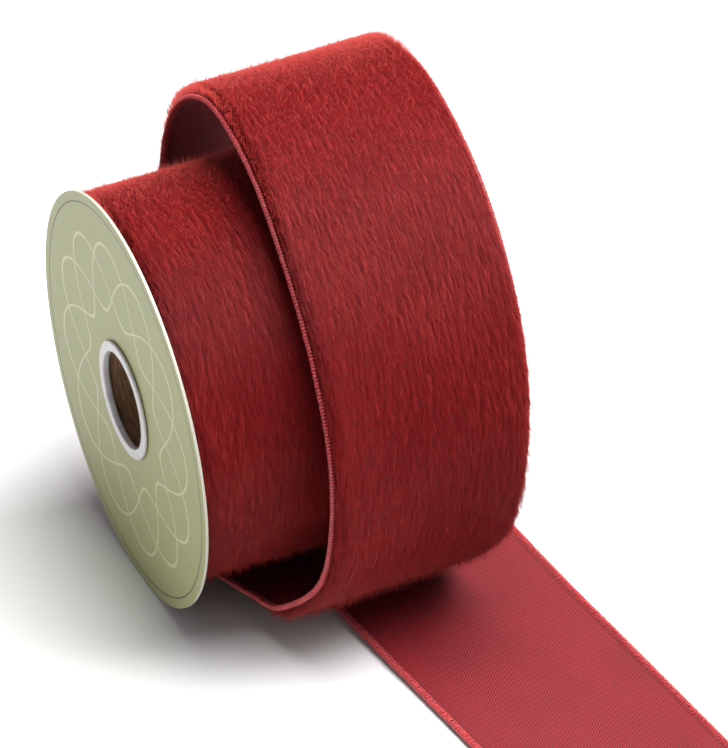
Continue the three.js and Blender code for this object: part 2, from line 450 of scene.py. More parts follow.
@dataclass
class RollSkin:
    """The outermost wound turn, which ends where the loose ribbon starts."""

    reel: ReelFrame
    mean: float = 55.0
    start: float = ROLL_ROWS[0].turn
    stop: float = ROLL_ROWS[-1].turn

    @property
    def length(self) -> float:
        """Returns the turn's length, counted at its mean distance from the axis."""
        return math.radians(self.stop - self.start) * self.mean

    def turn(self, s: np.ndarray) -> np.ndarray:
        """Returns the turns, in degrees, at places s."""
        return self.start + np.degrees(np.asarray(s, float) / self.mean)

    def _row(self, turn: np.ndarray) -> np.ndarray:
        """Returns the reach and the pile's height at these turns."""
        rows = np.array(ROLL_ROWS, float)
        fine = smooth_course(rows, np.linspace(0, len(rows) - 1, 400))
        return np.stack([np.interp(turn, fine[:, 0], fine[:, k]) for k in (1, 2)], -1)

    def back(self, turn: np.ndarray) -> np.ndarray:
        """Returns how far the satin side is from the axis at these turns."""
        row = self._row(turn)
        return row[..., 0] - row[..., 1] - BACKING

    def place(self, s: np.ndarray, w: np.ndarray, h: np.ndarray) -> Points:
        """Returns the points at these places."""
        turn = self.turn(s)
        return self.reel.place(ROLL_START + np.asarray(w), self.back(turn) - np.asarray(h), turn)

    def axes(self, s: np.ndarray) -> tuple[np.ndarray, np.ndarray, np.ndarray]:
        """Returns the directions along the ribbon, across it and out of its pile side."""
        turn = self.turn(s)
        across = np.broadcast_to(self.reel.axis, turn.shape + (3,))
        return self.reel.radial(turn + 90), across, self.reel.radial(turn)

    def pile(self, s: np.ndarray) -> np.ndarray:
        """Returns how high the pile stands over the backing."""
        return self._row(self.turn(s))[..., 1]

    def ruffle(self, s: np.ndarray) -> np.ndarray:
        """Returns how rumpled the pile is: a bell curve about the lower front of the roll."""
        return np.exp(-(((self.turn(s) - LOWER_FRONT) / 14.0) ** 2))


# Finishes


class Net:
    """Short names for making the nodes of a material or a group."""

    def __init__(self, tree: bpy.types.NodeTree) -> None:
        """Keeps the tree that the nodes go into."""
        self.tree = tree

    def node(self, kind: str, **settings: object) -> bpy.types.Node:
        """Adds a node of a kind and sets its properties."""
        made = self.tree.nodes.new(kind)
        for name, value in settings.items():
            setattr(made, name, value)
        return made

    def feed(self, socket: Socket, value: object) -> None:
        """Links a socket to another, or sets it to a plain value."""
        if isinstance(value, Socket):
            self.tree.links.new(value, socket)
        else:
            socket.default_value = value

    def math(self, operation: str, *values: object) -> Socket:
        """Returns the outcome of a Math node."""
        made = self.node("ShaderNodeMath", operation=operation)
        for socket, value in zip(made.inputs, values):
            self.feed(socket, value)
        return made.outputs[0]

    def vector(self, operation: str, *values: object) -> bpy.types.Node:
        """Returns a Vector Math node."""
        made = self.node("ShaderNodeVectorMath", operation=operation)
        for socket, value in zip(made.inputs, values):
            self.feed(socket, value)
        return made

    def mix(self, share: object, first: object, second: object) -> Socket:
        """Returns a mix of two colours."""
        made = self.node("ShaderNodeMix", data_type="RGBA")
        self.feed(made.inputs[0], share)
        for socket, value in ((made.inputs[6], first), (made.inputs[7], second)):
            self.feed(socket, (*value, 1.0) if isinstance(value, tuple) else value)
        return made.outputs[2]

    def band(self, value: object, low: float, high: float) -> Socket:
        """Returns 0 under low, 1 over high and a smooth rise between."""
        made = self.node("ShaderNodeMapRange", interpolation_type="SMOOTHSTEP")
        for name, put in (("Value", value), ("From Min", low), ("From Max", high)):
            self.feed(made.inputs[name], put)
        return made.outputs[0]

    def noise(self, vector: object, scale: float, detail: float = 2.0) -> Socket:
        """Returns a noise from 0 to 1."""
        made = self.node("ShaderNodeTexNoise")
        self.feed(made.inputs["Vector"], vector)
        made.inputs["Scale"].default_value = scale
        made.inputs["Detail"].default_value = detail
        return made.outputs[0]

    def group(self, tree: bpy.types.NodeTree, **inputs: object) -> bpy.types.Node:
        """Places a node group and fills its inputs."""
        made = self.node("ShaderNodeGroup", node_tree=tree)
        for name, value in inputs.items():
            self.feed(made.inputs[name], value)
        return made

    def facing_out(self) -> Socket:
        """Returns the piece's own shading direction, the same whichever side is seen."""
        here = self.node("ShaderNodeNewGeometry")
        same = self.vector("SCALE", here.outputs["Normal"])
        self.feed(same.inputs["Scale"], self.math("MULTIPLY_ADD", here.outputs["Backfacing"], -2.0, 1.0))
        return same.outputs[0]

    def bump(self, height: Socket, distance: float, strength: float = 1.0) -> Socket:
        """Returns the normal of a Bump node, its distance in millimetres."""
        made = self.node("ShaderNodeBump")
        made.inputs["Strength"].default_value = strength
        made.inputs["Distance"].default_value = distance * MM
        self.feed(made.inputs["Height"], height)
        return made.outputs[0]


def new_group(
    name: str, takes: dict[str, str], gives: dict[str, str]
) -> tuple[bpy.types.NodeTree, Net, dict[str, Socket], bpy.types.Node]:
    """Starts a shader node group.

    Args:
        name: the group's name.
        takes: socket type for each input's name.
        gives: socket type for each output's name.

    Returns:
        The group, its net, its inputs by name and its output node.
    """
    tree = bpy.data.node_groups.new(name, "ShaderNodeTree")
    for way, sockets in (("INPUT", takes), ("OUTPUT", gives)):
        for label, kind in sockets.items():
            tree.interface.new_socket(name=label, in_out=way, socket_type=kind)
    net = Net(tree)
    entry = net.node("NodeGroupInput")
    return tree, net, {s.name: s for s in entry.outputs if s.name}, net.node("NodeGroupOutput")


def fibre_group() -> bpy.types.NodeTree:
    """Makes the group of long thin streaks, as of combed fibres.

    It is a noise read at a place squeezed along one way, so that its spots become streaks.
    """
    tree, net, given, out = new_group(
        "fibre streaks",
        {"Place": "NodeSocketVector", "Wide": "NodeSocketFloat", "Long": "NodeSocketFloat"},
        {"Streaks": "NodeSocketFloat"},
    )
    split = net.node("ShaderNodeSeparateXYZ")
    net.feed(split.inputs[0], given["Place"])
    joined = net.node("ShaderNodeCombineXYZ")
    net.feed(joined.inputs[0], net.math("DIVIDE", split.outputs[0], given["Wide"]))
    net.feed(joined.inputs[1], net.math("DIVIDE", split.outputs[1], given["Long"]))
    net.feed(out.inputs[0], net.noise(joined.outputs[0], 1.0, 3.0))
    return tree


def reel_group(reel: ReelFrame) -> bpy.types.NodeTree:
    """Makes the group that gives a point's side, distance from the axis and turn, in millimetres.

    Args:
        reel: the reel's axes.

    Returns:
        The group.
    """
    tree, net, _, out = new_group(
        "place on the reel",
        {},
        {
            "Side": "NodeSocketFloat",
            "Reach": "NodeSocketFloat",
            "Turn": "NodeSocketFloat",
            "Flat": "NodeSocketVector",
        },
    )
    place = net.node("ShaderNodeTexCoord").outputs["Object"]
    scaled = net.vector("SCALE", place)
    scaled.inputs["Scale"].default_value = 1 / MM
    local = net.vector("SUBTRACT", scaled.outputs[0], tuple(reel.centre)).outputs[0]
    side = net.vector("DOT_PRODUCT", local, tuple(reel.axis)).outputs["Value"]
    fore = net.vector("DOT_PRODUCT", local, (0.0, -1.0, 0.0)).outputs["Value"]
    rise = net.vector("DOT_PRODUCT", local, tuple(reel.rise)).outputs["Value"]
    flat = net.node("ShaderNodeCombineXYZ")
    net.feed(flat.inputs[0], fore)
    net.feed(flat.inputs[1], rise)
    net.feed(out.inputs["Side"], side)
    net.feed(out.inputs["Reach"], net.vector("LENGTH", flat.outputs[0]).outputs["Value"])
    net.feed(out.inputs["Turn"], net.math("ARCTAN2", fore, rise))
    net.feed(out.inputs["Flat"], flat.outputs[0])
    return tree


@dataclass
class Groups:
    """The node groups that more than one material uses."""

    fibre: bpy.types.NodeTree
    reel: bpy.types.NodeTree


def new_material(name: str, roughness: float) -> tuple[bpy.types.Material, Net, bpy.types.Node]:
    """Starts a material with one Principled shader."""
    material = bpy.data.materials.new(name)
    material.use_nodes = True
    shader = material.node_tree.nodes["Principled BSDF"]
    shader.inputs["Roughness"].default_value = roughness
    return material, Net(material.node_tree), shader


def set_sheen(shader: bpy.types.Node, weight: float, roughness: float, tint: Colour) -> None:
    """Sets the soft shine of cloth on the shader's own sockets."""
    shader.inputs["Sheen Weight"].default_value = weight
    shader.inputs["Sheen Roughness"].default_value = roughness
    shader.inputs["Sheen Tint"].default_value = (*tint, 1.0)


def cloth_place(net: Net) -> Socket:
    """Returns the piece's own UV map: millimetres across and along a ribbon."""
    return net.node("ShaderNodeUVMap", uv_map="cloth").outputs[0]


@dataclass(frozen=True)
class PlushHair:
    """The single hairs of the pile: their UV map holds a tint and the place from root to tip."""

    # root: painted shade, the hair's colour darkened where it sits deep in the pile.
    root: Colour = (0.090, 0.0015, 0.0028)
    tip: Colour = (0.245, 0.0070, 0.0100)
    # Painted glow of light through thin hair tips, laid on hairs of high random tint.
    painted_tip_glow: Colour = (0.44, 0.050, 0.040)
    lit_through: Colour = (0.70, 0.085, 0.065)

    def build(self, groups: Groups) -> bpy.types.Material:
        """Returns the finish: painted shade darkens each hair towards its root, a painted glow brightens the
        tips of some hairs, and no two hairs are alike.
        """
        material, net, shader = new_material("plush hair", 0.55)
        split = net.node("ShaderNodeSeparateXYZ")
        net.feed(split.inputs[0], cloth_place(net))
        tint, along = split.outputs[0], split.outputs[1]
        # Painted shade: each hair runs from the darkened root colour up to its tip colour.
        body = net.mix(along, self.root, self.tip)
        # Painted glow: towards the tip, hairs with a high random tint turn orange-red, as if light passed
        # through them.
        painted_glow_mix = net.mix(net.math("MULTIPLY", net.band(tint, 0.6, 1.0), along), body, self.painted_tip_glow)
        hair_colour_with_painted_light = net.vector("SCALE", painted_glow_mix)
        net.feed(hair_colour_with_painted_light.inputs["Scale"], net.math("MULTIPLY_ADD", tint, 0.36, 0.82))
        net.feed(shader.inputs["Base Color"], hair_colour_with_painted_light.outputs[0])
        net.feed(shader.inputs["Normal"], net.facing_out())
        through = net.node("ShaderNodeBsdfTranslucent")
        net.feed(through.inputs["Color"], (*self.lit_through, 1.0))
        both = net.node("ShaderNodeMixShader")
        net.feed(both.inputs[0], 0.45)
        net.feed(both.inputs[1], shader.outputs[0])
        net.feed(both.inputs[2], through.outputs[0])
        net.feed(net.tree.nodes["Material Output"].inputs["Surface"], both.outputs[0])
        set_sheen(shader, 0.55, 0.45, (1.0, 0.26, 0.25))
        shader.inputs["Specular IOR Level"].default_value = 0.2
        return material


@dataclass(frozen=True)
class PlushGround:
    """The dense ground of the pile: fine combed streaks, with hardly any gap between them."""

    deep: Colour = (0.065, 0.0013, 0.0022)
    light: Colour = (0.17, 0.0040, 0.0065)

    def build(self, groups: Groups) -> bpy.types.Material:
        """Returns the finish."""
        material, net, shader = new_material("plush ground", 0.7)
        place = cloth_place(net)
        fine = net.group(groups.fibre, Place=place, Wide=0.2, Long=3.2).outputs[0]
        locks = net.group(groups.fibre, Place=place, Wide=1.4, Long=5.5).outputs[0]
        streaks = net.math("MULTIPLY_ADD", locks, 0.5, net.math("MULTIPLY", fine, 0.7))
        net.feed(shader.inputs["Base Color"], net.mix(net.band(streaks, 0.42, 0.78), self.deep, self.light))
        net.feed(shader.inputs["Normal"], net.bump(streaks, 0.5, 0.6))
        set_sheen(shader, 0.55, 0.45, (1.0, 0.26, 0.25))
        shader.inputs["Specular IOR Level"].default_value = 0.15
        return material


@dataclass(frozen=True)
class SatinBack:
    """The satin face: a fine steep twill with a soft shine."""

    thread: Colour = (0.222, 0.0100, 0.0150)
    gap: Colour = (0.087, 0.0033, 0.0057)
    needle_line: float = 2.65
    pitch: float = 1.05
    slant: float = 1.0

    def build(self, groups: Groups) -> bpy.types.Material:
        """Returns the finish: ribs across the cloth, broken by threads along it, with painted light and
        shade in broad patches and painted shade along the needle line by each edge.
        """
        material, net, shader = new_material("satin back", 0.42)
        split = net.node("ShaderNodeSeparateXYZ")
        net.feed(split.inputs[0], cloth_place(net))
        across, along = split.outputs[0], split.outputs[1]
        slanted = net.math("MULTIPLY_ADD", across, self.slant, along)
        rib = net.math("SINE", net.math("MULTIPLY", slanted, 2 * math.pi / self.pitch))
        warp = net.math("SINE", net.math("MULTIPLY", across, 2 * math.pi / (self.pitch * 0.9)))
        weave = net.math("MULTIPLY_ADD", net.math("MULTIPLY_ADD", warp, 0.35, rib), 0.37, 0.5)
        slubs = net.group(groups.fibre, Place=cloth_place(net), Wide=1.6, Long=0.35).outputs[0]
        height = net.math("MULTIPLY_ADD", slubs, 0.9, weave)
        # Painted light and shade: broad patches brighten and darken the threads, as soft swells of the cloth
        # would in the light.
        swell = net.group(groups.fibre, Place=cloth_place(net), Wide=14.0, Long=26.0).outputs[0]
        share = net.math("MULTIPLY", net.band(height, 0.5, 1.25), net.math("MULTIPLY_ADD", swell, 1.3, 0.4))
        # Painted shade: the threads darken along the needle line by each edge, where the stitched groove
        # lies in shade.
        inside = net.math("MINIMUM", across, net.math("SUBTRACT", RIBBON_WIDTH, across))
        groove = net.math("ABSOLUTE", net.math("SUBTRACT", inside, self.needle_line))
        stitched = net.math("MULTIPLY_ADD", net.band(groove, 0.05, 0.45), 0.75, 0.25)
        share = net.math("MULTIPLY", share, stitched)
        net.feed(shader.inputs["Base Color"], net.mix(share, self.gap, self.thread))
        net.feed(shader.inputs["Roughness"], net.math("MULTIPLY_ADD", slubs, 0.2, 0.45))
        net.feed(shader.inputs["Normal"], net.bump(height, 0.2, 0.8))
        set_sheen(shader, 0.1, 0.35, (1.0, 0.4, 0.4))
        shader.inputs["Specular IOR Level"].default_value = 0.28
        return material


@dataclass(frozen=True)
class EdgeThread:
    """The shiny thread that wraps the wired edge."""

    colour: Colour = (0.70, 0.092, 0.098)
    shade: Colour = (0.38, 0.028, 0.036)
    name: str = "edge thread"

    def build(self, groups: Groups) -> bpy.types.Material:
        """Returns the finish."""
        material, net, shader = new_material(self.name, 0.38)
        streaks = net.group(groups.fibre, Place=cloth_place(net), Wide=0.25, Long=0.6).outputs[0]
        net.feed(shader.inputs["Base Color"], net.mix(net.band(streaks, 0.3, 0.65), self.shade, self.colour))
        net.feed(shader.inputs["Normal"], net.bump(streaks, 0.04))
        set_sheen(shader, 0.3, 0.3, (1.0, 0.6, 0.6))
        return material


@dataclass(frozen=True)
class WireCoverPaintedShade(EdgeThread):
    """The cloth over the wire, painted dark as the shade between the threads."""

    # Both colours are painted shade: the thread's red darkened as between the wraps.
    colour: Colour = (0.30, 0.016, 0.024)
    shade: Colour = (0.13, 0.005, 0.009)
    name: str = "wire cover painted shade"


@dataclass(frozen=True)
class FlangeCard:
    """Coated card: sage with a thin dark line near the rim and pale interlaced waves."""

    sage: Colour = (0.305, 0.315, 0.137)
    pale: Colour = (0.50, 0.51, 0.30)
    line: Colour = (0.035, 0.04, 0.025)
    board: Colour = (0.50, 0.47, 0.40)
    line_reach: float = 57.0
    line_width: float = 0.42
    wave_reach: float = 37.0
    wave_height: float = 11.0
    waves: int = 4
    wave_width: float = 1.05

    def _stroke(self, net: Net, off: Socket, width: float) -> Socket:
        """Returns 1 within half a width of where off is 0, with a soft rim."""
        away = net.math("ABSOLUTE", off)
        return net.math("SUBTRACT", 1.0, net.band(away, width / 2 - 0.06, width / 2 + 0.06))

    def build(self, groups: Groups) -> bpy.types.Material:
        """Returns the finish. A wave's reach is a middle reach and a sine of the turn round the reel."""
        material, net, shader = new_material("flange card", 0.48)
        place = net.group(groups.reel)
        side, reach, turn = (place.outputs[n] for n in ("Side", "Reach", "Turn"))
        mottle = net.noise(place.outputs["Flat"], 0.35, 4.0)
        sage = net.mix(net.band(mottle, 0.3, 0.7), tuple(0.96 * c for c in self.sage), self.sage)
        marks = None
        for phase in (0.0, 2 * math.pi / 3, 4 * math.pi / 3):
            swing = net.math("SINE", net.math("MULTIPLY_ADD", turn, float(self.waves), phase))
            middle = net.math("MULTIPLY_ADD", swing, self.wave_height, self.wave_reach)
            stroke = self._stroke(net, net.math("SUBTRACT", reach, middle), self.wave_width)
            marks = stroke if marks is None else net.math("MAXIMUM", marks, stroke)
        printed = net.mix(net.math("MULTIPLY", marks, 0.85), sage, self.pale)
        ring = self._stroke(net, net.math("SUBTRACT", reach, self.line_reach), self.line_width)
        printed = net.mix(ring, printed, self.line)
        middle = (REEL_WIDTH / 2, CARD / 2)
        inner = net.math("ABSOLUTE", net.math("SUBTRACT", side, middle[0]))
        bare = net.math("LESS_THAN", inner, middle[0] - middle[1])
        cut = net.math("GREATER_THAN", reach, FLANGE_RADIUS - 0.08)
        grain = net.noise(place.outputs["Flat"], 3.0, 6.0)
        board = net.mix(grain, tuple(0.8 * c for c in self.board), self.board)
        net.feed(shader.inputs["Base Color"], net.mix(net.math("MAXIMUM", bare, cut), printed, board))
        net.feed(shader.inputs["Normal"], net.bump(grain, 0.02, 0.4))
        return material


@dataclass(frozen=True)
class BushingPlastic:
    """Translucent grey-white moulded plastic."""

    colour: Colour = (0.60, 0.585, 0.60)

    def build(self, groups: Groups) -> bpy.types.Material:
        """Returns the finish, a little cloudy."""
        material, net, shader = new_material("bushing plastic", 0.33)
        place = net.group(groups.reel)
        cloud = net.noise(place.outputs["Flat"], 0.25, 3.0)
        dull = tuple(0.82 * c for c in self.colour)
        net.feed(shader.inputs["Base Color"], net.mix(net.band(cloud, 0.3, 0.7), dull, self.colour))
        net.feed(shader.inputs["Roughness"], net.math("MULTIPLY_ADD", cloud, 0.2, 0.25))
        shader.inputs["Subsurface Weight"].default_value = 0.25
        shader.inputs["Subsurface Scale"].default_value = 1.5 * MM
        return material


@dataclass(frozen=True)
class CoreCard:
    """Bare brown card wound in a spiral."""

    light: Colour = (0.36, 0.205, 0.110)
    dark: Colour = (0.17, 0.090, 0.048)

    def build(self, groups: Groups) -> bpy.types.Material:
        """Returns the finish: fibres round the tube and a few darker bands."""
        material, net, shader = new_material("core card", 0.85)
        place = net.group(groups.reel)
        spot = net.node("ShaderNodeCombineXYZ")
        net.feed(spot.inputs[0], place.outputs["Side"])
        net.feed(spot.inputs[1], net.math("MULTIPLY", place.outputs["Turn"], CORE_INNER))
        fibres = net.group(groups.fibre, Place=spot.outputs[0], Wide=0.6, Long=5.0).outputs[0]
        net.feed(shader.inputs["Base Color"], net.mix(net.band(fibres, 0.3, 0.75), self.dark, self.light))
        net.feed(shader.inputs["Normal"], net.bump(fibres, 0.12, 0.6))
        return material


@dataclass(frozen=True)
class Finishes:
    """Every material of the object, built once."""

    hair: bpy.types.Material
    ground: bpy.types.Material
    satin: bpy.types.Material
    thread: bpy.types.Material
    # The bead's cover, painted dark as the shade between the threads.
    wire: bpy.types.Material
    card: bpy.types.Material
    plastic: bpy.types.Material
    core: bpy.types.Material

    @classmethod
    def build(cls, reel: ReelFrame) -> "Finishes":
        """Returns the finishes for a reel."""
        groups = Groups(fibre_group(), reel_group(reel))
        cloth = (PlushHair, PlushGround, SatinBack, EdgeThread, WireCoverPaintedShade)
        kinds = (*cloth, FlangeCard, BushingPlastic, CoreCard)
        return cls(*(kind().build(groups) for kind in kinds))


# The pile


def ground_rise(skin: Skin, s: np.ndarray, w: np.ndarray) -> np.ndarray:
    """Returns how high the dense ground of the pile stands, none along the edges."""
    inside = np.minimum(w, RIBBON_WIDTH - w) - PILE_EDGE
    return skin.pile(s) * GROUND_SHARE * ease(inside / GROUND_SLOPE + 0.12)


def ground_columns() -> np.ndarray:
    """Returns the places across a ribbon that its pile's ground has points at, close by the edges."""
    near = PILE_EDGE + np.array([-0.3, 0.2, 0.8, 1.6, 2.6])
    wide = np.linspace(PILE_EDGE + 4, RIBBON_WIDTH - PILE_EDGE - 4, 10)
    return np.r_[near, wide, RIBBON_WIDTH - near[::-1]]


@dataclass(frozen=True)
class Comb:
    """How the pile is combed: fine tapering hairs in soft locks that lean back along the ribbon."""

    length: float = 4.6
    width: float = 0.16
    density: float = 12.6
    lock_long: float = 4.2
    lock_wide: float = 1.1
    gather: float = 0.28
    sway: float = 0.24
    splay: float = 0.9
    stray: float = 0.08
    even: float = 0.72
    margin: float = PILE_EDGE

    def roots(
        self, skin: Skin, share: ByPlace, rng: np.random.Generator
    ) -> tuple[np.ndarray, np.ndarray]:
        """Scatters the roots.

        Args:
            skin: the ribbon.
            share: the part of the full density at a place.
            rng: the source of random numbers.

        Returns:
            Where the roots are along and across the ribbon, in order along it.
        """
        wide = RIBBON_WIDTH - 2 * self.margin
        count = int(skin.length * wide * self.density)
        s = np.sort(rng.uniform(0, skin.length, count))
        w = self.margin + rng.uniform(0, wide, count)
        kept = rng.uniform(0, 1, count) < share(s, w)
        return s[kept], w[kept]

    def sway_at(self, s: np.ndarray, w: np.ndarray) -> np.ndarray:
        """Returns a slow swing of the combing, a sum of three long waves over the cloth."""
        return (
            np.sin(s / 23.0 + w / 17.0)
            + np.sin(s / 11.0 - w / 9.0 + 1.3) * 0.7
            + np.sin(s / 41.0 + w / 31.0 + 4.0)
        ) / 2.7

    def locks(self, s: np.ndarray, w: np.ndarray) -> tuple[list[np.ndarray], np.ndarray, np.ndarray]:
        """Sorts roots into locks that are staggered from row to row.

        Args:
            s: the roots' places along the ribbon.
            w: the roots' places across it.

        Returns:
            Five numbers from 0 to 1 that a lock's roots share, and how far the lock's middle is
            from each root, along and across.
        """
        row = np.floor(s / self.lock_long)
        shift = 0.5 * np.mod(row, 2) + 0.35 * (hashed(row, row * 0, 7) - 0.5)
        column = np.floor(w / self.lock_wide + shift)
        lock = [hashed(row, column, salt) for salt in range(1, 6)]
        to_s = (row + 0.2 + 0.6 * lock[0]) * self.lock_long - s
        to_w = (column - shift + 0.2 + 0.6 * lock[1]) * self.lock_wide - w
        return lock, to_s, to_w

    def slivers(
        self, root: Points, run: np.ndarray, out: np.ndarray, half: np.ndarray, roll: np.ndarray
    ) -> tuple[Points, np.ndarray]:
        """Cuts a sliver for each hair, with two points at its root and one at its tip.

        A sliver is shaded mostly as the cloth under it is, and a little as its own flat side.

        Args:
            root: where the hairs start.
            run: the way from root to tip.
            out: the cloth's directions out of its pile side.
            half: half of each hair's width at its root.
            roll: how far each hair is rolled about its own length, in radians.

        Returns:
            Points, three to a hair, and a shading direction for each hair.
        """
        flat = unit(np.cross(out, run))
        over = np.cross(unit(run), flat)
        side = (flat * np.cos(roll)[:, None] + over * np.sin(roll)[:, None]) * half[:, None]
        facing = unit(np.cross(side, run))
        turned = np.where(np.einsum("ij,ij->i", facing, out) < 0, -1.0, 1.0)[:, None]
        side, facing = side * turned, facing * turned
        points = np.stack([root - side, root + side, root + run], 1).reshape(-1, 3)
        points[:, 2] = np.maximum(points[:, 2], LEAST_ABOVE_FLOOR)
        return points, unit(out * self.even + facing * (1 - self.even))

    def hairs(
        self, skin: Skin, s: np.ndarray, w: np.ndarray, rng: np.random.Generator
    ) -> tuple[Points, np.ndarray, np.ndarray, np.ndarray]:
        """Grows a hair at each root.

        A hair starts inside the ground. Its tip stands off the cloth by the pile's height, leans
        back along the ribbon by what is left of its length, and is then drawn to the middle of
        its lock. Where the pile is rumpled the locks draw tighter and stand up more.

        Args:
            skin: the ribbon.
            s: the roots' places along it.
            w: the roots' places across it.
            rng: the source of random numbers.

        Returns:
            Points, triangles, shading directions, and for each point a tint, which carries painted light and
            shade in broad patches, and its place from root to tip.
        """
        count = len(s)
        lock, to_s, to_w = self.locks(s, w)
        ruffle = skin.ruffle(s)
        gather = (self.gather + 0.45 * ruffle) * (0.4 + 0.6 * lock[2])
        loose = rng.uniform(0, 1, (6, count))
        stray = loose[0] < self.stray * (1 + 1.5 * ruffle)
        swing = self.sway * (self.sway_at(s, w) + 1.1 * (lock[3] - 0.5) + 0.9 * (loose[1] - 0.5))
        swing = swing + ruffle * 1.5 * (lock[0] - 0.5)
        start = ground_rise(skin, s, w) * 0.9
        height = skin.pile(s) * (0.90 + 0.16 * loose[2]) * (0.96 + 0.08 * lock[4])
        rise = np.maximum(height - start, 0.4) * (1 + 0.7 * ruffle * lock[1])
        rise = rise + np.where(stray, 0.8 + 2.2 * loose[3], 0)
        length = self.length * np.where(stray, 0.9, 0.7 + 0.5 * loose[3])
        lean = np.sqrt(np.maximum(length**2 - rise**2, (0.3 * length) ** 2)) * np.where(stray, 0.5, 1.0)
        off_edge = np.minimum(w, RIBBON_WIDTH - w) - self.margin
        outward_side = np.sign(w - RIBBON_WIDTH / 2) * self.splay * np.exp(-off_edge / 1.4)
        along, across, out = skin.axes(s)
        combed = -along * np.cos(swing)[:, None] + across * np.sin(swing)[:, None]
        root = skin.place(s, w, -BACKING - start)
        drawn = along * (to_s * gather)[:, None] + across * (to_w * gather + outward_side)[:, None]
        run = out * rise[:, None] + combed * lean[:, None] + drawn
        half = self.width / 2 * np.where(stray, 0.55, 0.7 + 0.6 * loose[5])
        points, shading = self.slivers(root, run, out, half, roll=(loose[4] - 0.5) * 1.6)
        faces = np.arange(3 * count).reshape(-1, 3)
        tint = 0.5 + (0.25 + 0.5 * ruffle) * (lock[4] - 0.5) + 0.85 * (loose[1] - 0.5)
        # The slow sway term is painted light and shade: broad lighter and darker patches, as where brushed
        # pile catches the light.
        tint = np.clip(tint + 0.14 * self.sway_at(1.9 * s + 7, 1.4 * w), 0, 1)
        uv = np.stack([np.repeat(tint, 3), np.tile([0.0, 0.0, 1.0], count)], -1)
        return points, faces, np.repeat(shading, 3, axis=0), uv

    def grow(
        self, name: str, skin: Skin, parts: int, share: ByPlace, finish: bpy.types.Material
    ) -> list[bpy.types.Object]:
        """Grows the pile of a ribbon as a few pieces, one after another along it.

        Args:
            name: the pieces' name, to which a number is added.
            skin: the ribbon.
            parts: how many pieces.
            share: the part of the full density at a place.
            finish: the hairs' material.

        Returns:
            The pieces.
        """
        rng = np.random.default_rng(SEED + len(name))
        s, w = self.roots(skin, share, rng)
        pieces = []
        for number, chosen in enumerate(np.array_split(np.arange(len(s)), parts), 1):
            points, faces, shading, uv = self.hairs(skin, s[chosen], w[chosen], rng)
            piece = make_piece(f"{name}_{number}", points, faces, uv)
            piece.data.normals_split_custom_set_from_vertices(shading)
            pieces.append(settle(piece, finish, Slot.VELVET))
        return pieces


# The wired, overlocked edge


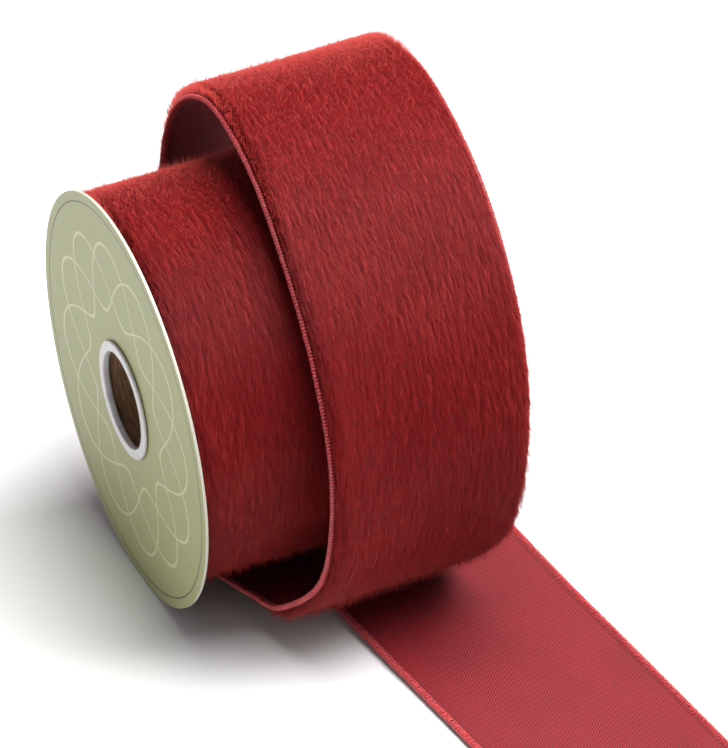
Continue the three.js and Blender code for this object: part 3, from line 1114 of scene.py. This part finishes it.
@dataclass(frozen=True)
class WiredEdge:
    """A round wired bead along the edge, wrapped in thread that is stitched down inside it."""

    stitch: float = 0.95
    thread: float = 0.16
    bead: float = 0.62
    rows_apart: float = 0.95
    sides: int = 3

    def bead_section(self) -> np.ndarray:
        """Returns the bead's section, a ring of places across and above the satin.

        It is a circle about the wire, and a low flat tongue on the cloth inside it.
        """
        turn = np.radians(np.arange(330, 29, -50))
        circle = self.bead * np.stack([np.cos(turn), np.sin(turn)], -1)
        tongue = [[BAND - 0.1, -BACKING - 0.1], [BAND - 0.1, 0.06]]
        return np.vstack([circle + [BEAD_CENTRE, -BACKING / 2], tongue])

    def bead_piece(self, name: str, skin: Skin, mirrored: bool) -> bpy.types.Object:
        """Carries the bead's section along the edge and closes its ends."""
        section = self.bead_section()
        count = len(section)
        s = np.linspace(0, skin.length, int(skin.length / self.rows_apart))
        across = RIBBON_WIDTH - section[:, 0] if mirrored else section[:, 0]
        run, w, h = np.repeat(s, count), np.tile(across, len(s)), np.tile(section[:, 1], len(s))
        points = skin.place(run, w, h)
        centres = points.reshape(len(s), count, 3)[[0, -1]].mean(1)
        walls = grid_faces(len(s), count, ring=True)
        i = np.arange(count)
        after = (i + 1) % count
        last = (len(s) - 1) * count
        near = np.stack([after, i, np.full(count, len(points))], -1)
        far = np.stack([last + i, last + after, np.full(count, len(points) + 1)], -1)
        triangles = np.vstack([walls[:, [0, 1, 2]], walls[:, [0, 2, 3]], near, far])
        points = np.vstack([points, centres])
        uv = np.stack([np.r_[w, across[0], across[0]], np.r_[run, 0, skin.length]], -1)
        return make_piece(name, points, outward(points, triangles), uv)

    def strand_course(self) -> np.ndarray:
        """Returns a strand's course over the bead: across, above the satin, and along."""
        return np.array([
            (2.42, -0.02, 0.00),
            (2.05, 0.20, 0.06),
            (1.50, 0.20, 0.18),
            (1.05, 0.44, 0.30),
            (0.40, 0.36, 0.52),
            (0.02, -0.25, 0.76),
            (0.50, -0.95, 0.98),
            (1.70, -0.80, 1.20),
        ])

    def strand_places(
        self, length: float, rng: np.random.Generator
    ) -> tuple[np.ndarray, np.ndarray, np.ndarray, np.ndarray]:
        """Lays the strands side by side along an edge, each a little off its course.

        Every second strand starts closer in and leans the other way.

        Args:
            length: the edge's length.
            rng: the source of random numbers.

        Returns:
            Where each strand starts, and its points along, across and above the satin.
        """
        course = self.strand_course()
        starts = np.arange(0.4, length - 1.2, self.stitch / 2)
        short = (np.arange(len(starts)) % 2 == 1)[:, None]
        jitter = rng.normal(0, 1, (3, len(starts), 1))
        far_in = short & (course[None, :, 0] > 1.4)
        across = np.where(far_in, 1.77 - 0.1 * course[None, :, 0], course[None, :, 0])
        above = course[None, :, 1] + 0.02 * jitter[1]
        run = starts[:, None] + course[None, :, 2] * np.where(short, -0.4, 1.0) + 0.06 * jitter[2]
        return starts, np.clip(run, 0.05, length - 0.05), across + 0.05 * jitter[0], above

    def strands(self, name: str, skin: Skin, mirrored: bool, rng: np.random.Generator) -> bpy.types.Object:
        """Wraps the strands, two to a stitch: one from the needle line and one from closer in.

        A strand is a thin tube of three sides carried along its course.

        Args:
            name: the piece's name.
            skin: the ribbon.
            mirrored: True on the right edge.
            rng: the source of random numbers.

        Returns:
            The piece.
        """
        starts, run, across, above = self.strand_places(skin.length, rng)
        count, steps = run.shape
        if mirrored:
            across = RIBBON_WIDTH - across
        line = skin.place(run, across, above)
        ahead = unit(np.gradient(line, axis=1))
        wide = unit(np.cross(ahead, np.cross(skin.axes(run)[0], ahead)))
        deep = np.cross(ahead, wide)
        turn = 2 * math.pi * np.arange(self.sides) / self.sides
        taper = np.ones(steps)
        taper[[0, -1]] = 0.05
        radius = (self.thread * taper)[None, :, None, None]
        ring = wide[:, :, None] * np.cos(turn)[:, None] + deep[:, :, None] * np.sin(turn)[:, None]
        points = line[:, :, None] + ring * radius
        points[..., 2] = np.maximum(points[..., 2], LEAST_ABOVE_FLOOR)
        one = grid_faces(steps, self.sides, ring=True)
        faces = (one[None] + (np.arange(count) * steps * self.sides)[:, None, None]).reshape(-1, 4)
        u = np.broadcast_to((np.arange(steps) * 0.5)[None, :, None], points.shape[:3])
        v = np.broadcast_to(np.arange(self.sides) * 0.3, points.shape[:3]) + starts[:, None, None] * 7.0
        uv = np.stack([v, u], -1).reshape(-1, 2)
        points = points.reshape(-1, 3)
        return make_piece(name, points, outward(points, faces), uv)

    def sew(self, name: str, skin: Skin, finishes: Finishes) -> list[bpy.types.Object]:
        """Sews both edges of a ribbon and returns the pieces."""
        pieces = []
        for label, mirrored in (("left", False), ("right", True)):
            rng = np.random.default_rng(SEED + 31 * (1 + mirrored))
            bead = self.bead_piece(f"{name}_{label}_bead", skin, mirrored)
            strands = self.strands(f"{name}_{label}_thread", skin, mirrored, rng)
            # The bead's dark cover is painted shade between the wrapped threads.
            pieces.append(settle(bead, finishes.wire, Slot.VELVET))
            pieces.append(settle(strands, finishes.thread, Slot.VELVET))
        return pieces


# The pieces of the object


@dataclass
class LooseRibbon:
    """The loose stretch: its backing, the ground of its pile, its edges and its hairs."""

    skin: LooseSkin
    finishes: Finishes
    row_apart: float = 2.0
    columns: int = 40
    ripple: float = 0.28
    tail: float = 150.0
    fringe: float = 6.0

    def _slab(self, name: str, w: np.ndarray, top: ByPlace, bottom: ByPlace) -> bpy.types.Object:
        """Makes a thin closed slab along the ribbon.

        Args:
            name: the piece's name.
            w: the places across the ribbon that it has points at.
            top: how high over the satin its upper side is at a place.
            bottom: the same of its lower side.

        Returns:
            The piece.
        """
        s = np.linspace(0, self.skin.length, int(self.skin.length / self.row_apart))
        across = np.r_[w, w[::-1]]
        rows, count = len(s), len(across)
        run, wide = np.repeat(s, count), np.tile(across, rows)
        upper = np.tile(np.arange(count) < len(w), rows)
        height = np.where(upper, top(run, wide), bottom(run, wide))
        points = self.skin.place(run, wide, height)
        faces = np.vstack([grid_faces(rows, count, ring=True), end_faces(rows, count)])
        return make_piece(name, points, outward(points, faces), np.stack([wide, run], -1))

    def ripples(self, s: np.ndarray, w: np.ndarray) -> np.ndarray:
        """Returns how far the satin stands off its plane: soft long swells, none at the edges."""
        inside = ease((np.minimum(w, RIBBON_WIDTH - w) - BAND) / 6)
        swell = np.sin(s / 13.0 + w / 21.0) * 0.5 + np.sin(s / 31.0 - w / 11.0 + 2.0)
        return -0.02 + self.ripple * inside * (swell / 1.5 - 0.4)

    def cover(self, s: np.ndarray, w: np.ndarray) -> np.ndarray:
        """Returns how full the pile is: whole round the reel, and a fringe alone under the tail."""
        near_edge = np.minimum(w, RIBBON_WIDTH - w) < self.fringe
        under_tail = np.where(near_edge, 0.5, 0.03)
        return np.where(s < self.skin.length - self.tail, 1.0, under_tail)

    def build(self) -> None:
        satin = settle(
            self._slab(
                "satin_backing",
                np.linspace(0.6, RIBBON_WIDTH - 0.6, self.columns),
                self.ripples,
                lambda s, w: np.full(s.shape, -BACKING),
            ),
            self.finishes.satin,
            Slot.VELVET,
            "loose_ribbon",
        )
        ground = settle(
            self._slab(
                "loose_ground",
                ground_columns(),
                lambda s, w: np.full(s.shape, -BACKING + 0.02),
                lambda s, w: -BACKING - 0.1 - ground_rise(self.skin, s, w),
            ),
            self.finishes.ground,
            Slot.VELVET,
        )
        edges = WiredEdge().sew("loose_edge", self.skin, self.finishes)
        hairs = Comb().grow("loose_pile", self.skin, 3, self.cover, self.finishes.hair)


@dataclass
class WoundRoll:
    """The ribbon on the reel: the roll's body, the outer turn's edges and its hairs."""

    skin: RollSkin
    finishes: Finishes
    step: float = 1.5
    covered: tuple[float, float] = (226.0, 330.0)

    def body(self) -> bpy.types.Object:
        """Makes the roll's body, a ring whose end meets its start in one steep step.

        Its outside is the ground of the pile, and it goes down to the core within the edge bands.
        """
        turns = np.arange(self.skin.start + 1.0, self.skin.stop, self.step)
        s = np.radians(turns - self.skin.start) * self.skin.mean
        w = ground_columns()
        across = np.r_[w[0], w, w[-1], RIBBON_WIDTH / 2]
        rows, count = len(turns), len(across)
        run, wide = np.repeat(s, len(w)), np.tile(w, rows)
        outside = ground_rise(self.skin, run, wide).reshape(rows, -1)
        outside = outside + (self.skin.back(turns) + BACKING + 0.1)[:, None]
        bore = np.full((rows, 1), CORE_OUTER + GAP)
        reach = np.hstack([bore, outside, bore, bore])
        points = self.skin.reel.place(
            ROLL_START + np.tile(across, (rows, 1)), reach, np.repeat(turns[:, None], count, 1)
        ).reshape(-1, 3)
        faces = grid_faces(rows, count, ring=True, loop=True)
        uv = np.stack([np.tile(across, rows), np.repeat(s, count)], -1)
        piece = make_piece("roll_body", points, outward(points, faces), uv)
        return settle(piece, self.finishes.ground, Slot.VELVET, "wound_ribbon")

    def cover(self, s: np.ndarray, w: np.ndarray) -> np.ndarray:
        """Returns how full the pile is: thin under the layer that leaves the roll, else whole."""
        turn = self.skin.turn(s)
        hidden = (turn > self.covered[0]) & (turn < self.covered[1])
        return np.where(hidden, 0.15, 1.0)

    def build(self) -> None:
        """Makes the pieces."""
        self.body()
        WiredEdge().sew("roll_edge", self.skin, self.finishes)
        Comb(length=5.6).grow("roll_pile", self.skin, 2, self.cover, self.finishes.hair)


@dataclass
class CardReel:
    """The reel: card flanges from the frame, plastic bushings and the card core."""

    reel: ReelFrame
    finishes: Finishes
    segments: int = 128

    def _lathe(self, name: str, profile: np.ndarray, flip: bool = False) -> bpy.types.Object:
        """Turns a closed profile of sides and distances about the axis.

        Args:
            name: the piece's name.
            profile: places along the axis and distances from it, a closed ring.
            flip: whether the places count back from the reel's right end.

        Returns:
            The piece.
        """
        turn = np.linspace(0, 360, self.segments, endpoint=False)
        side = REEL_WIDTH - profile[:, 0] if flip else profile[:, 0]
        count = len(side)
        points = self.reel.place(
            np.tile(side, (self.segments, 1)),
            np.tile(profile[:, 1], (self.segments, 1)),
            np.repeat(turn[:, None], count, 1),
        ).reshape(-1, 3)
        faces = grid_faces(self.segments, count, ring=True, loop=True)
        return make_piece(name, points, outward(points, faces))

    def bushing_profile(self) -> np.ndarray:
        """Returns the bushing's profile: a rounded rim outside the card and a barrel in its hole."""
        front, back = -GAP - RIM_HEIGHT, -GAP
        lip, barrel = 0.45, CORE_INNER - GAP
        turn = np.radians(np.linspace(0, 90, 7))
        outer = np.stack([front + lip - lip * np.cos(turn), RIM_RADIUS - lip + lip * np.sin(turn)], -1)
        inner = np.stack([front + lip - lip * np.cos(turn[::-1]), BORE + lip - lip * np.sin(turn[::-1])], -1)
        rest = [(back, RIM_RADIUS), (back, barrel), (CARD, barrel), (CARD, BORE), (0.2, BORE)]
        dish = [(front + 0.12, (BORE + RIM_RADIUS) / 2)]
        return np.vstack([inner, dish, outer, rest])

    def core_profile(self) -> np.ndarray:
        """Returns the core's profile."""
        along = np.linspace(ROLL_START, ROLL_START + RIBBON_WIDTH, 24)
        outer = np.stack([along, np.full_like(along, CORE_OUTER)], -1)
        inner = np.stack([along[::-1], np.full_like(along, CORE_INNER)], -1)
        return np.vstack([outer, inner])

    def build(self) -> None:
        """Dresses the flanges, and makes the bushings and the core."""
        for node in ("flange_left", "flange_right"):
            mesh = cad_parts[node].data
            mesh.materials.clear()
            mesh.materials.append(self.finishes.card)
            log.info("%s: dressed", node)
        profile = self.bushing_profile()
        for node, flip in (("bushing_left", False), ("bushing_right", True)):
            piece = self._lathe(f"{node}_rim", profile, flip)
            settle(piece, self.finishes.plastic, Slot.PLASTIC, node)
        settle(self._lathe("core_wall", self.core_profile()), self.finishes.core, Slot.CORE, "core_tube")


# The studio


@dataclass(frozen=True)
class Studio:
    """The camera at the photograph's angle, a pale floor and soft light."""

    azimuth: float = -21.6
    elevation: float = 33.0
    pixels_per_mm: float = 3.617
    image: tuple[int, int] = (728, 748)
    flange_pixel: tuple[float, float] = (125.0, 399.6)
    depth: float = 12.0
    lens: float = 1600.0
    sensor: float = 36.0

    def camera(self, reel: ReelFrame) -> None:
        """Places a long lens so that the left flange's middle falls on its pixel."""
        a, e = math.radians(self.azimuth), math.radians(self.elevation)
        back = Vector((math.sin(a) * math.cos(e), -math.cos(a) * math.cos(e), math.sin(e)))
        right = Vector((math.cos(a), math.sin(a), 0))
        up = back.cross(right)
        across = (self.image[0] / 2 - self.flange_pixel[0]) / self.pixels_per_mm
        above = (self.flange_pixel[1] - self.image[1] / 2) / self.pixels_per_mm
        target = Vector(reel.centre) + right * across + up * above + back * self.depth
        distance = self.lens / self.sensor * max(self.image) / self.pixels_per_mm
        data = bpy.data.cameras.new("camera")
        data.lens, data.sensor_width = self.lens, self.sensor
        data.clip_start, data.clip_end = 1.0, 30.0
        camera = bpy.data.objects.new("camera", data)
        camera.location = (target + back * distance) * MM
        camera.rotation_mode = "QUATERNION"
        camera.rotation_quaternion = (-back).to_track_quat("-Z", "Y")
        bpy.context.scene.collection.objects.link(camera)
        bpy.context.scene.camera = camera

    def _area(self, name: str, place: tuple[float, float, float], size: float, watts: float) -> None:
        """Hangs a soft square light that faces the reel."""
        data = bpy.data.lights.new(name, "AREA")
        data.energy, data.size = watts, size
        light = bpy.data.objects.new(name, data)
        light.location = place
        aim = Vector((0.04, -0.02, 0.06)) - Vector(place)
        light.rotation_mode = "QUATERNION"
        light.rotation_quaternion = aim.to_track_quat("-Z", "Y")
        bpy.context.scene.collection.objects.link(light)

    def lights(self) -> None:
        """Hangs the lights and sets the room's own light."""
        self._area("key", (0.47, -0.10, 1.25), 1.3, 54.0)
        self._area("left", (-1.2, -0.2, 0.25), 0.9, 2.0)
        self._area("front", (0.80, -0.70, 1.05), 0.7, 3.0)
        world = bpy.data.worlds.new("room")
        world.use_nodes = True
        background = world.node_tree.nodes["Background"]
        background.inputs["Color"].default_value = (1.0, 1.0, 1.0, 1.0)
        background.inputs["Strength"].default_value = 0.24
        bpy.context.scene.world = world

    def floor(self) -> None:
        """Lays a wide pale floor."""
        reach = 40000.0
        corners = np.array([(-1, -1, 0), (1, -1, 0), (1, 1, 0), (-1, 1, 0)]) * reach
        floor = make_piece("floor", corners, np.array([[0, 1, 2, 3]]))
        material, _, shader = new_material("pale floor", 0.9)
        shader.inputs["Base Color"].default_value = (0.76, 0.76, 0.76, 1.0)
        shader.inputs["Specular IOR Level"].default_value = 0.0
        floor.data.materials.append(material)

    def build(self, reel: ReelFrame) -> None:
        """Sets up the camera, the lights, the floor and a plain tone curve."""
        self.camera(reel)
        self.lights()
        self.floor()
        bpy.context.scene.view_settings.view_transform = "Standard"


def main() -> None:
    """Builds the object in order."""
    logging.basicConfig(level=logging.INFO, format="%(name)s %(message)s")
    reel = ReelFrame()
    Studio().build(reel)
    finishes = Finishes.build(reel)
    CardReel(reel, finishes).build()
    WoundRoll(RollSkin(reel), finishes).build()
    LooseRibbon(LooseSkin(reel), finishes).build()


if __name__ == "__main__":
    main()
